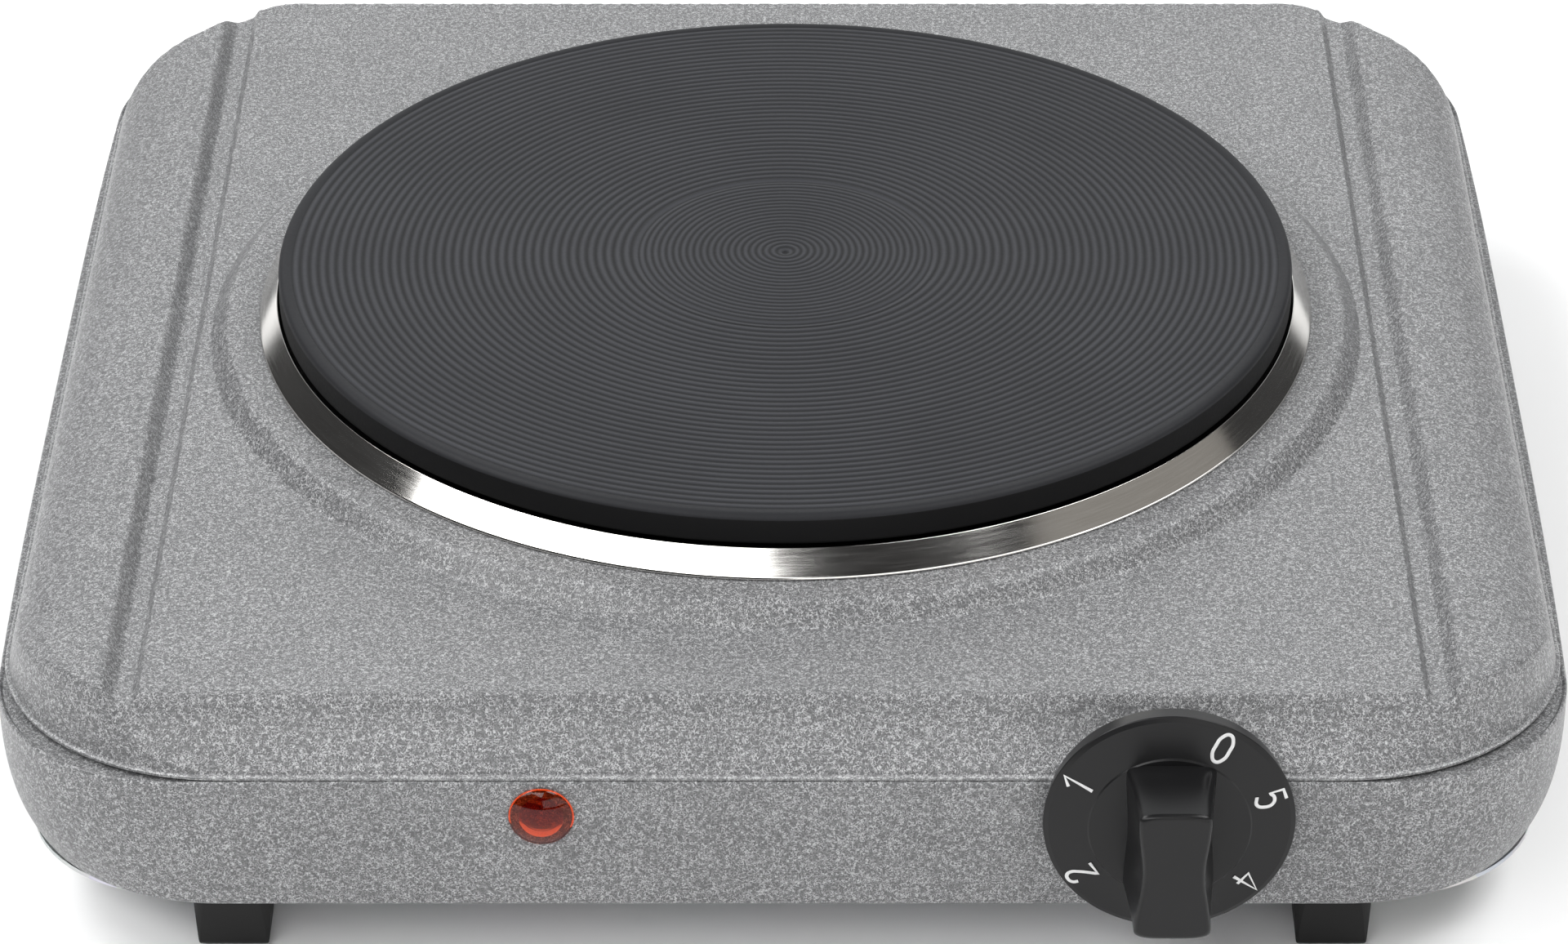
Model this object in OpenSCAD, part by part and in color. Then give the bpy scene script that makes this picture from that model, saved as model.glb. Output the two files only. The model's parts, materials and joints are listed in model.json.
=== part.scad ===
// Single-ring electric hot plate: a cast-iron plate on a square two-part painted housing.
// Millimetres, +Z up. The origin is the middle of the footprint, on the surface it stands on.

/* [Housing] */
// Width and depth of the lower housing, over its walls
base_w = 269.4; // [267:0.2:272]
// Corner radius of the lower housing, seen from above
base_corner_r = 33; // [32:1:38]
// Height of the flat centre panel above the ground
panel_z = 51.6; // [50.5:0.1:52.5]
// Height of the joint between the cover and the lower housing
joint_z = 40; // [39.5:0.1:40.5]
// Height of the lower edge of the painted housing
skirt_z = 14; // [13.5:0.1:14.5]
// Thickness of the painted steel sheet
sheet_t = 0.8; // [0.6:0.1:1]

/* [Cover] */
// Width of the cover along its lower lip, side to side
cover_w = 266.4; // [265:0.2:267.4]
// Depth of the cover along its lower lip, front to back
cover_l = 268.4; // [266:0.2:268.8]
// Corner radius of the cover, seen from above
cover_corner_r = 39; // [36:1:42]
// How far the front slope runs back from the lip to its crease
front_run = 8.6; // [7:0.1:10]
// How far the rear slope runs forward from the lip to its crease
rear_run = 5.1; // [4:0.1:8]
// Height of the raised round seat above the panel
seat_h = 3.7; // [3:0.1:4]
// Radius of the raised seat along its top edge
seat_r = 102.3; // [101.5:0.1:103]
// Radius of the round opening under the hot plate
opening_r = 91; // [90.2:0.1:91.2]
// Height of the two side wings above the centre panel
wing_h = 1.2; // [0.8:0.1:1.6]
// Depth of the two long grooves below the centre panel
groove_d = 1.2; // [0.8:0.1:1.5]

/* [Hot plate] */
// Diameter of the cast-iron plate
plate_d = 185; // [184:0.5:186]
// Height of the cooking surface above the ground
plate_top = 66; // [65.8:0.1:66.4]
// Height of the visible side wall of the plate
plate_wall_h = 6; // [5.5:0.1:6.2]
// Radius of the shallow ring groove that marks the unheated middle
mark_r = 26.9; // [25:0.1:28]
// Outer radius of the polished trim ring where it stands on the cover
trim_r = 96.5; // [96:0.1:97.5]

/* [Control] */
// Distance of the knob from the middle of the front, to the right
knob_x = 64.3; // [62.3:0.5:66.3]
// Height of the knob axis above the ground
knob_z = 35.1; // [34.5:0.1:35.5]
// Diameter of the knob skirt
knob_d = 42; // [41:0.5:43]
// How far the grip stands out from the knob's face
grip_h = 14.7; // [12:0.1:15.5]
// Rise of the switch slider for each radian of knob turn
cam_rate = 0.5; // [0.4:0.05:0.55]

/* [Lamp] */
// Distance of the pilot lamp from the middle of the front, to the left
lamp_x = 40; // [38:0.5:42]
// Height of the pilot lamp above the ground
lamp_z = 33.4; // [33:0.1:34]
// Diameter of the domed lamp lens
lamp_d = 10.9; // [10.6:0.1:11.6]

/* [Feet] */
// Distance of each foot from the middle, sideways
foot_x = 93.6; // [92:0.2:95]
// Distance of each foot from the middle, front to back
foot_y = 117; // [115:0.5:118]
// Width of a rubber foot at its top
foot_w = 13.9; // [13.6:0.1:14.6]
// Length of a rubber foot at its top, front to back
foot_l = 18.4; // [17:0.2:19]

/* [Hidden] */
$fn = 96;
small_fn = 48;
over = 1;

// Middle of the housing in depth, set so that knob and cord gland reach equally far from it
knob_gap = 0.8;
knob_skirt_t = 4;
hub_rise = 1.3;
gland_out = 5;
knob_reach = base_w / 2 + knob_gap + knob_skirt_t + hub_rise + grip_h;
gland_reach = base_w / 2 + gland_out;
body_y = (knob_reach - gland_reach) / 2;

half_base = base_w / 2;
half_cover = cover_w / 2;
half_depth = cover_l / 2;
lip_gap = 0.3;
lip_z = joint_z + lip_gap;
slope_rise = panel_z - lip_z;
wing_z = panel_z + wing_h;
seat_z = panel_z + seat_h;
seat_foot_r = seat_r + 3.1;
groove_x1 = 107.3;
groove_x2 = 108.4;
groove_x3 = 111.2;
groove_x4 = 113.6;
ledge_w = 5;
ear_xy = 111;
ear_r = 7;
tab_t = 1.2;

plate_r = plate_d / 2;
plate_low = plate_top - plate_wall_h;
rim_out = 86;
rim_in = 78.4;
iron_t = 7;
bottom_z = plate_low - 10;
coil_radii = [35, 53, 71];
channel_half = 7;
coil_r = 3;
coil_z = 55.4;
coil_a1 = 110;
coil_a2 = 430;
post_r = 1.5;
boss_r = 14;
stud_r = 4;
stud_low = 26;
trim_t = 0.6;
trim_top_r = 93.3;
pan_t = 0.6;
pan_z = bottom_z - pan_t;
nut_af = 13;
nut_h = 6;
bar_z = pan_z - nut_h - 5;
bar_t = 2;
bar_w = 22;
bar_leg_x = 88.6;
bar_end_x = 99;

wall_y = -half_base;
inner_y = wall_y + sheet_t;
shaft_r = 3;
shaft_fit = 0.05;
case_w = 40;
case_z1 = 16.9;
case_z2 = 44.6;
case_y1 = -128.6;
case_y2 = -106;
case_t = 1.6;
cam_y = -121;
cam_t = 4;
off_angle = 28.4;
top_angle = 288;
cam_r0 = 4.6;
tip_gap = 0.2;
cam_travel = cam_rate * (off_angle + top_angle) * PI / 180;
slider_h = 4.9;
slider_top = knob_z - cam_r0 - cam_rate * off_angle * PI / 180 - tip_gap;
blade_z = slider_top - slider_h - cam_travel - 0.4;

plate_sheet_t = 0.8;
plate_edge = 5.5;
flange_w = 12;
flange_hole = 8.3;
floor_z = skirt_z;
foot_top = skirt_z - plate_sheet_t;
block_x = 62;
block_y = 104;
gland_x = 62;
gland_z = 27;
gland_bore_r = 3.7;
lens_rim = 0.5;
lens_dome = 1.9;
earth_x = 100;
earth_y = 92;

// ---- helpers ----

// Puts housing coordinates, with the hot plate over the origin, on the part's own origin
module at_body() {
    translate([0, body_y, 0])
        children();
}

// Flat rectangle with round corners, half_x by half_y from its middle
module round_rect(half_x, half_y, r) {
    square([2 * half_x, 2 * (half_y - r)], center = true);
    square([2 * (half_x - r), 2 * half_y], center = true);
    for (sx = [-1, 1], sy = [-1, 1])
        translate([sx * (half_x - r), sy * (half_y - r)])
            circle(r = r);
}

// Square outline of the lower housing, pulled in by o
module base_outline(o) {
    round_rect(half_base - o, half_base - o, base_corner_r - o);
}

// Extrudes an outline drawn in X and Z along Y, from y1 to y2
module along_y(y1, y2) {
    translate([0, y2, 0])
        rotate([90, 0, 0])
            linear_extrude(height = y2 - y1)
                children();
}

// Cylinder along Y from y1 to y2
module rod_y(x, z, r, y1, y2, fn = small_fn) {
    translate([x, y1, z])
        rotate([-90, 0, 0])
            cylinder(h = y2 - y1, r = r, $fn = fn);
}

// Round sweep of one wire through its points, eight sides
module wire(points, r) {
    n = len(points);
    sides = 8;
    function unit(v) = v / norm(v);
    function way(i) = unit(points[min(i + 1, n - 1)] - points[max(i - 1, 0)]);
    function side_of(d) = unit(cross(d, abs(d[2]) > 0.8 ? [1, 0.2, 0] : [0.1, 0.1, 1]));
    rings = [for (i = [0:n - 1])
        let (d = way(i), u = side_of(d), v = cross(d, u))
        for (k = [0:sides - 1])
            points[i] + r * (cos(k * 360 / sides) * u + sin(k * 360 / sides) * v)];
    walls = [for (i = [0:n - 2], k = [0:sides - 1])
        let (a = i * sides, b = a + sides, m = (k + 1) % sides)
        each [[a + k, b + k, b + m], [a + k, b + m, a + m]]];
    first = [for (k = [0:sides - 1]) k];
    last = [for (k = [0:sides - 1]) n * sides - 1 - k];
    polyhedron(points = rings, faces = concat([first], walls, [last]), convexity = 6);
}

// Pan-head screw pointing down, head on top at z = 0
module pan_screw(r, length, head_r, head_h) {
    difference() {
        union() {
            cylinder(h = head_h, r = head_r, $fn = small_fn);
            translate([0, 0, -length])
                cylinder(h = length + over / 2, r = r, $fn = small_fn);
        }
        translate([0, 0, head_h])
            cube([head_r * 1.3, 0.8, head_h], center = true);
        translate([0, 0, head_h])
            cube([0.8, head_r * 1.3, head_h], center = true);
    }
}

// Hexagon nut standing on z = 0
module hex_nut(af, h, bore_r) {
    difference() {
        cylinder(h = h, r = af / sqrt(3), $fn = 6);
        translate([0, 0, -over])
            cylinder(h = h + 2 * over, r = bore_r, $fn = small_fn);
    }
}

// Runs its children at the four corners given by dx and dy
module at_corners(dx, dy) {
    for (sx = [-1, 1], sy = [-1, 1])
        translate([sx * dx, sy * dy, 0])
            children();
}

// ---- cover ----

// Round shoulder of a wing, from its flat top down to the lip, pulled in by o
function shoulder(o, side) =
    [for (t = side > 0 ? [90:-10:0] : [0:10:90])
        [side * (groove_x4 + o / 2 + (half_cover - groove_x4 - 1.5 * o) * sin(t)),
            wing_z - o - (wing_z - o - lip_z) * (1 - cos(t))]];

// Depth of the front or rear slope at height z, with the run of that slope, pulled in by o
function slope_y(run, z, o) =
    half_depth - (z - lip_z) * run / slope_rise
        - o * sqrt(run * run + slope_rise * slope_rise) / slope_rise;

// Body bounded by the cover's outer face, moved inward by o
module cover_body(o) {
    z1 = o > 0 ? lip_z - over : lip_z;
    z2 = wing_z + over;
    intersection() {
        translate([0, 0, z1])
            linear_extrude(height = z2 - z1)
                round_rect(half_cover - o, half_depth - o, cover_corner_r - o);
        rotate([90, 0, 90])
            linear_extrude(height = 2 * half_base, center = true)
                polygon([
                    [-slope_y(front_run, z1, o), z1],
                    [slope_y(rear_run, z1, o), z1],
                    [slope_y(rear_run, z2, o), z2],
                    [-slope_y(front_run, z2, o), z2]]);
        along_y(-half_base, half_base)
            polygon(concat(
                [[-half_cover + o, z1 - over], [half_cover - o, z1 - over]],
                shoulder(o, 1),
                [[groove_x3 + o / 2, panel_z - groove_d - o],
                [groove_x2 - o / 2, panel_z - groove_d - o],
                [groove_x1 - o / 2, panel_z - o],
                [-groove_x1 + o / 2, panel_z - o],
                [-groove_x2 + o / 2, panel_z - groove_d - o],
                [-groove_x3 - o / 2, panel_z - groove_d - o]],
                shoulder(o, -1)));
    }
    translate([0, 0, panel_z - 2 * over - o])
        cylinder(h = seat_h + 2 * over, r1 = seat_foot_r + 1.67 - o, r2 = seat_r - o, $fn = 180);
}

// Four welded lugs inside the corners that the housing screws bite into
module cover_lugs() {
    intersection() {
        cover_body(sheet_t / 2);
        for (a = [45:90:315])
            rotate([0, 0, a])
                translate([ear_xy * sqrt(2) - ear_r, -ear_r, joint_z])
                    cube([3 * ear_r, 2 * ear_r, tab_t]);
    }
}

module top_cover() {
    color("#9c9ea0")
        at_body()
            difference() {
                union() {
                    difference() {
                        cover_body(0);
                        cover_body(sheet_t);
                    }
                    cover_lugs();
                }
                translate([0, 0, panel_z])
                    cylinder(h = 2 * seat_h, r = opening_r, $fn = 180);
                at_corners(ear_xy, ear_xy)
                    translate([0, 0, joint_z - over])
                        cylinder(h = 3 * over + tab_t, r = 1.6, $fn = small_fn);
            }
}

// ---- lower housing ----

module base_shell() {
    color("#8f9193")
        at_body()
            difference() {
                translate([0, 0, skirt_z])
                    linear_extrude(height = joint_z - skirt_z)
                        base_outline(0);
                // hollow between the ledge at the top and the flange at the bottom
                translate([0, 0, skirt_z + sheet_t])
                    linear_extrude(height = joint_z - skirt_z - 2 * sheet_t)
                        base_outline(sheet_t);
                // opening inside the top ledge, with an ear left in each corner
                translate([0, 0, joint_z - 2 * over])
                    linear_extrude(height = 3 * over)
                        difference() {
                            base_outline(ledge_w);
                            for (a = [45:90:315])
                                rotate(a)
                                    translate([ear_xy * sqrt(2) - ear_r, -ear_r])
                                        square([4 * ear_r, 2 * ear_r]);
                        }
                // opening inside the bottom flange
                translate([0, 0, skirt_z - over])
                    linear_extrude(height = 3 * over)
                        base_outline(flange_w);
                // screw holes in the four ears and in the bottom flange
                at_corners(ear_xy, ear_xy)
                    translate([0, 0, joint_z - 2 * over])
                        cylinder(h = 3 * over, r = 1.8, $fn = small_fn);
                for (a = [0:90:270])
                    rotate([0, 0, a])
                        for (s = [-1, 1])
                            translate([half_base - flange_hole, s * 50, skirt_z - over])
                                cylinder(h = 3 * over, r = 1.35, $fn = small_fn);
                // front holes for the spindle, its two screws and the lamp
                rod_y(knob_x, knob_z, 4, wall_y - over, wall_y + 2 * over);
                for (s = [-1, 1])
                    rod_y(knob_x + s * 11, knob_z, 1.7, wall_y - over, wall_y + 2 * over);
                rod_y(-lamp_x, lamp_z, 4.8, wall_y - over, wall_y + 2 * over);
                // rear hole for the cord gland
                rod_y(gland_x, gland_z, 6, half_base - 2 * over, half_base + over);
            }
}

module bottom_plate() {
    slot_w = 3;
    color("#b9bbbd")
        at_body()
            difference() {
                translate([0, 0, foot_top])
                    linear_extrude(height = plate_sheet_t)
                        base_outline(plate_edge);
                // cooling slots under the hot plate
                for (i = [-6:6])
                    for (row = [-1, 1])
                        translate([i * 9, row * 26, foot_top])
                            cube([slot_w, 34, 3], center = true);
                at_corners(foot_x, foot_y)
                    translate([0, 0, foot_top - over])
                        cylinder(h = 3 * over, r = 2.1, $fn = small_fn);
                for (a = [0:90:270])
                    rotate([0, 0, a])
                        for (s = [-1, 1])
                            translate([half_base - flange_hole, s * 50, foot_top - over])
                                cylinder(h = 3 * over, r = 1.6, $fn = small_fn);
                translate([block_x, block_y, foot_top - over])
                    cylinder(h = 3 * over, r = 1.6, $fn = small_fn);
                translate([earth_x, earth_y, foot_top - over])
                    cylinder(h = 3 * over, r = 2.1, $fn = small_fn);
            }
}

// ---- hot plate ----

// Angles at which the coil steps from one channel to the next, one for each wall
function link_angle(i) = i == 0 ? coil_a2 : coil_a1;

module coil_tube(r) {
    for (i = [0:2])
        rotate([0, 0, coil_a1])
            rotate_extrude(angle = coil_a2 - coil_a1)
                translate([coil_radii[i], 0])
                    circle(r = r, $fn = 32);
    for (i = [0:1])
        rotate([0, 0, link_angle(i)])
            translate([coil_radii[i], 0, 0])
                rotate([0, 90, 0])
                    cylinder(h = coil_radii[i + 1] - coil_radii[i], r = r, $fn = 32);
}

function coil_start() = [coil_radii[0] * cos(coil_a1), coil_radii[0] * sin(coil_a1)];
function coil_end() = [coil_radii[2] * cos(coil_a2), coil_radii[2] * sin(coil_a2)];

module at_posts() {
    for (p = [coil_start(), coil_end()])
        translate([p[0], p[1], 0])
            children();
}

// Ring channel around one turn of the coil
module coil_channel(i, z1, z2) {
    translate([0, 0, z1])
        difference() {
            cylinder(h = z2 - z1, r = coil_radii[i] + channel_half, $fn = 120);
            translate([0, 0, -over])
                cylinder(h = z2 - z1 + 2 * over, r = coil_radii[i] - channel_half, $fn = 120);
        }
}

// Gaps in the channel walls that let the coil step outward
module link_slots(z1, z2) {
    for (i = [0:1])
        rotate([0, 0, link_angle(i)])
            translate([coil_radii[i], -5, z1])
                cube([coil_radii[i + 1] - coil_radii[i], 10, z2 - z1]);
}

module hotplate() {
    roof = plate_top - iron_t;
    color("#4a4b4d")
        at_body()
            difference() {
                union() {
                    rotate_extrude($fn = 180)
                        polygon([[0, plate_low], [plate_r, plate_low], [plate_r, plate_top - 1],
                            [plate_r - 1.2, plate_top], [mark_r + 1.1, plate_top],
                            [mark_r, plate_top - 0.45], [mark_r - 1.1, plate_top],
                            [1.6, plate_top], [0, plate_top - 0.6]]);
                    translate([0, 0, bottom_z])
                        cylinder(h = 2 * over + plate_low - bottom_z, r = rim_out, $fn = 180);
                }
                translate([0, 0, bottom_z - over])
                    cylinder(h = 3, r = rim_in, $fn = 180);
                for (i = [0:2])
                    coil_channel(i, bottom_z - over, roof);
                link_slots(bottom_z - over, roof);
                // clear of the thin step in the middle, around the threaded boss
                translate([0, 0, bottom_z - over])
                    difference() {
                        cylinder(h = roof - bottom_z + over, r = coil_radii[0] - channel_half - 3);
                        translate([0, 0, -over])
                            cylinder(h = roof, r = boss_r);
                    }
                translate([0, 0, bottom_z - over])
                    cylinder(h = over + 8, r = stud_r, $fn = small_fn);
            }
}

module trim_ring() {
    z1 = seat_z;
    z2 = plate_low;
    color("#d5d6d8")
        at_body()
            rotate_extrude($fn = 180)
                polygon([[rim_out + 0.6, z2 - trim_t], [trim_top_r - 0.3, z2 - trim_t],
                    [trim_r - 0.8, z1 + trim_t], [trim_r - 1.6, z1 + trim_t],
                    [trim_r - 1.6, z1], [trim_r, z1], [trim_top_r + 0.5, z2 - 0.3],
                    [trim_top_r, z2], [rim_out + 0.6, z2]]);
}

module heating_coil() {
    color("#8a7f70")
        at_body()
            difference() {
                translate([0, 0, coil_z])
                    coil_tube(coil_r);
                at_posts()
                    translate([0, 0, bottom_z - over])
                        cylinder(h = coil_z - bottom_z + over, r = post_r, $fn = small_fn);
            }
}

module coil_cement() {
    z1 = bottom_z + 2.2;
    roof = plate_top - iron_t;
    color("#cfc9bb")
        at_body()
            difference() {
                union() {
                    for (i = [0:2])
                        coil_channel(i, z1, roof);
                    link_slots(z1, roof);
                }
                translate([0, 0, coil_z])
                    coil_tube(coil_r);
                at_posts()
                    translate([0, 0, bottom_z - over])
                        cylinder(h = coil_z - bottom_z + over, r = post_r, $fn = small_fn);
            }
}

module plate_pan() {
    color("#a7abae")
        at_body()
            difference() {
                translate([0, 0, pan_z])
                    cylinder(h = pan_t, r = rim_out - 2, $fn = 180);
                translate([0, 0, pan_z - over])
                    cylinder(h = pan_t + 2 * over, r = stud_r + 0.2, $fn = small_fn);
                at_posts()
                    translate([0, 0, pan_z - over])
                        cylinder(h = pan_t + 2 * over, r = 3.2, $fn = small_fn);
            }
}

module plate_posts() {
    color("#c9cacc")
        at_body()
            at_posts()
                translate([0, 0, 38])
                    cylinder(h = coil_z - 38, r = post_r, $fn = small_fn);
}

module post_insulators() {
    color("#e9e4d6")
        at_body()
            at_posts()
                difference() {
                    union() {
                        translate([0, 0, pan_z - 4])
                            cylinder(h = 4, r = 5, $fn = small_fn);
                        translate([0, 0, pan_z - 4])
                            cylinder(h = 4 + pan_t + 1.2, r = 3, $fn = small_fn);
                    }
                    translate([0, 0, pan_z - 5])
                        cylinder(h = 8, r = post_r, $fn = small_fn);
                }
}

module centre_stud() {
    color("#b8babc")
        at_body()
            translate([0, 0, stud_low])
                cylinder(h = bottom_z + 7.5 - stud_low, r = stud_r - 0.02, $fn = small_fn);
}

module pan_nut() {
    color("#b8babc")
        at_body()
            translate([0, 0, pan_z - nut_h])
                hex_nut(nut_af, nut_h, stud_r);
}

module clamp_bar() {
    top_z = seat_z - sheet_t;
    right = [[bar_leg_x, bar_z], [bar_leg_x, top_z - bar_t], [bar_end_x, top_z - bar_t],
        [bar_end_x, top_z], [bar_leg_x - bar_t, top_z], [bar_leg_x - bar_t, bar_z + bar_t]];
    color("#9fa3a6")
        at_body()
            difference() {
                along_y(-bar_w / 2, bar_w / 2)
                    polygon(concat(right, [for (i = [len(right) - 1:-1:0]) [-right[i][0], right[i][1]]]));
                translate([0, 0, bar_z - over])
                    cylinder(h = bar_t + 2 * over, r = stud_r + 0.3, $fn = small_fn);
            }
}

module clamp_washer() {
    color("#b8babc")
        at_body()
            translate([0, 0, bar_z - 1.6])
                difference() {
                    cylinder(h = 1.6, r = 9, $fn = small_fn);
                    translate([0, 0, -over])
                        cylinder(h = 4, r = stud_r + 0.2, $fn = small_fn);
                }
}

module clamp_nut() {
    color("#b8babc")
        at_body()
            translate([0, 0, bar_z - 1.6 - nut_h])
                hex_nut(nut_af, nut_h, stud_r);
}

// ---- switch ----

module regulator_bracket() {
    color("#b0b3b5")
        at_body()
            difference() {
                union() {
                    translate([knob_x - 17, inner_y, 24])
                        cube([34, 1.2, 14.6]);
                    // side straps back to the case
                    for (s = [-1, 1])
                        translate([knob_x + s * 16 - 1, inner_y, 24])
                            cube([2, case_y1 - inner_y, 14.6]);
                    rod_y(knob_x, knob_z, 4.1, inner_y + over, case_y1);
                }
                rod_y(knob_x, knob_z, shaft_r + shaft_fit, inner_y - over, case_y1 + over);
                for (s = [-1, 1])
                    rod_y(knob_x + s * 11, knob_z, 1.5, inner_y - over, inner_y + 3 * over);
            }
}

module regulator_case() {
    gx = 4;
    color("#6b5a44")
        at_body()
            difference() {
                translate([knob_x - case_w / 2, case_y1, case_z1])
                    cube([case_w, case_y2 - case_y1, case_z2 - case_z1]);
                translate([knob_x - case_w / 2 + case_t, case_y1 + case_t, case_z1 + case_t])
                    difference() {
                        cube([case_w - 2 * case_t, case_y2 - case_y1, case_z2 - case_z1 - 2 * case_t]);
                        // two ribs that guide the slider
                        for (s = [-1, 1])
                            translate([case_w / 2 - case_t + s * (gx + 1) - 1, -over,
                                blade_z + 1.6 - case_z1 - case_t])
                                cube([2, 9 + over, slider_top - blade_z - 5]);
                    }
                rod_y(knob_x, knob_z, shaft_r + 0.3, case_y1 - over, case_y1 + 3 * over);
                // ways out for the blade and the fixed contact
                translate([knob_x - case_w / 2 - over, cam_y, blade_z])
                    cube([4 * over, 4, 0.6]);
                translate([knob_x + case_w / 2 - 3 * over, cam_y, blade_z - 3])
                    cube([4 * over, 4, 0.8]);
            }
}

module regulator_lid() {
    color("#6b5a44")
        at_body()
            difference() {
                union() {
                    translate([knob_x - case_w / 2, case_y2, case_z1])
                        cube([case_w, case_t, case_z2 - case_z1]);
                    rod_y(knob_x, knob_z, 5, case_y2 - 9, case_y2 + over);
                }
                rod_y(knob_x, knob_z, shaft_r + shaft_fit, case_y2 - 10, case_y2 - 1);
            }
}

// Radius of the cam, by the angle from the top, clockwise as seen from the front
function cam_radius(a) =
    cam_r0 + cam_rate * (180 - a + off_angle) * PI / 180;

module switch_spindle() {
    lead = 12;
    spiral = [for (a = [-top_angle + 180 - lead:4:180 + off_angle + lead]) a];
    color("#c7c8ca")
        at_body()
            union() {
                difference() {
                    rod_y(knob_x, knob_z, shaft_r, wall_y - 15, case_y2 - 1.5);
                    // flat on the knob end
                    translate([knob_x - 5, wall_y - 16, knob_z + 2])
                        cube([10, 15.2, 5]);
                }
                translate([knob_x, cam_y + cam_t, knob_z])
                    rotate([90, 0, 0])
                        linear_extrude(height = cam_t)
                            polygon([for (a = spiral)
                                max(cam_radius(a), cam_r0 - 0.2) * [sin(a), cos(a)]]);
            }
}

module contact_slider() {
    color("#e4ddca")
        at_body()
            translate([knob_x, cam_y + 0.2, 0])
                union() {
                    translate([-3.7, 0, slider_top - slider_h])
                        cube([7.4, cam_t - 0.4, slider_h - 2.6]);
                    rod_y(0, slider_top - 2, 2, 0, cam_t - 0.4);
                }
}

module contact_blade() {
    color("#b5803a")
        at_body()
            translate([knob_x - case_w / 2 - 8, cam_y, blade_z])
                union() {
                    cube([case_w + 4, 4, 0.6]);
                    translate([case_w + 2, 2, -1])
                        cylinder(h = 1.2, r = 1.6, $fn = small_fn);
                }
}

module fixed_contact() {
    color("#b5803a")
        at_body()
            translate([knob_x + case_w / 2 - 9, cam_y, blade_z - 3])
                union() {
                    cube([17, 4, 0.8]);
                    translate([3, 2, 0])
                        cylinder(h = 1.8, r = 1.6, $fn = small_fn);
                }
}

module regulator_screws() {
    color("#b8babc")
        at_body()
            for (s = [-1, 1])
                translate([knob_x + s * 11, wall_y, knob_z])
                    rotate([90, 0, 0])
                        pan_screw(1.5, 3.4, 2.8, 1.4);
}

// ---- knob ----

// Waisted outline of the grip, half width w at the ends and w - waist in the middle
module grip_outline(w, h, waist) {
    steps = 10;
    right = [for (i = [-steps:steps]) [w - waist * (1 + cos(180 * i / steps)) / 2, h * i / steps]];
    top = [for (i = [1:5]) [w * cos(i * 30), h + 1.6 * sin(i * 30)]];
    left = [for (p = right) [-p[0], -p[1]]];
    low = [for (p = top) [-p[0], -p[1]]];
    polygon(concat(right, top, left, low));
}

module knob() {
    y0 = wall_y - knob_gap;
    y1 = y0 - knob_skirt_t;
    y2 = y1 - hub_rise;
    r = knob_d / 2;
    color("#262628")
        at_body()
            difference() {
                union() {
                    translate([knob_x, y0, knob_z])
                        rotate([90, 0, 0])
                            rotate_extrude($fn = 120)
                                polygon([[0, 0], [r - 0.8, 0], [r, knob_skirt_t - 0.5],
                                    [r - 0.5, knob_skirt_t], [13.4, knob_skirt_t + hub_rise],
                                    [0, knob_skirt_t + hub_rise]]);
                    // grip, wider where it grows out of the face
                    translate([knob_x, y2 + 2, knob_z])
                        rotate([90, 0, 0])
                            linear_extrude(height = grip_h + 2, scale = [0.82, 0.98], slices = 4)
                                grip_outline(7.5, 10.9, 1.1);
                }
                // hollow behind the skirt, around the hub
                translate([knob_x, y0 + over, knob_z])
                    rotate([90, 0, 0])
                        difference() {
                            cylinder(h = 3.2 + over, r = r - 2, $fn = 120);
                            translate([0, 0, -over])
                                cylinder(h = 9, r = 5.6, $fn = small_fn);
                        }
                // bore for the spindle, with its flat
                difference() {
                    rod_y(knob_x, knob_z, shaft_r, wall_y - 15.2, y0 + over);
                    translate([knob_x - 5, wall_y - 16, knob_z + 2.6])
                        cube([10, 15.2, 5]);
                }
            }
}

module knob_clip() {
    color("#c9c9c9")
        at_body()
            translate([knob_x - 1.6, wall_y - 13, knob_z + 2.05])
                cube([3.2, 9, 0.5]);
}

// ---- lamp ----

module lamp_lens() {
    color("#a03018")
        at_body()
            translate([-lamp_x, wall_y, lamp_z])
                rotate([90, 0, 0])
                    union() {
                        rotate_extrude($fn = small_fn)
                            polygon(concat([[0, -3], [4.7, -3], [4.7, 0], [lamp_d / 2, 0],
                                [lamp_d / 2, lens_rim]],
                                [for (i = [4:-1:0])
                                    [lamp_d * i / 10, lens_rim + lens_dome * (1 - i * i / 25)]]));
                    }
}

module lamp_body() {
    color("#d8cfb8")
        at_body()
            union() {
                rod_y(-lamp_x, lamp_z, 4.2, wall_y + 3, wall_y + 16);
                for (s = [-1, 1])
                    rod_y(-lamp_x + s * 2, lamp_z, 0.5, wall_y + 15, wall_y + 20);
            }
}

module lamp_clip() {
    color("#b8babc")
        at_body()
            difference() {
                rod_y(-lamp_x, lamp_z, 5.6, inner_y, inner_y + 0.5);
                rod_y(-lamp_x, lamp_z, 4.7, inner_y - over, inner_y + 2);
            }
}

// ---- mains entry ----

module cord_gland() {
    color("#2b2b2d")
        at_body()
            difference() {
                union() {
                    rod_y(gland_x, gland_z, 8.5, half_base, half_base + 2.5);
                    rod_y(gland_x, gland_z, 6.6, half_base, half_base + gland_out);
                    rod_y(gland_x, gland_z, 5.9, half_base - 10, half_base + over);
                }
                rod_y(gland_x, gland_z, gland_bore_r, half_base - 11, half_base + gland_out + over);
            }
}

module gland_nut() {
    color("#2b2b2d")
        at_body()
            translate([gland_x, half_base - sheet_t, gland_z])
                rotate([90, 0, 0])
                    hex_nut(17, 4, 5.9);
}

module mains_block() {
    color("#e9e4d6")
        at_body()
            translate([block_x, block_y, floor_z])
                difference() {
                    translate([-18, -8, 0])
                        cube([36, 16, 14]);
                    for (i = [-1:1]) {
                        rod_y(i * 11.5, 6, 2.4, -9, 9);
                        translate([i * 11.5, 0, 6])
                            cylinder(h = 9, r = 1.7, $fn = small_fn);
                    }
                    translate([0, 0, -over])
                        cylinder(h = 4, r = 1.2, $fn = small_fn);
                }
}

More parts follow.
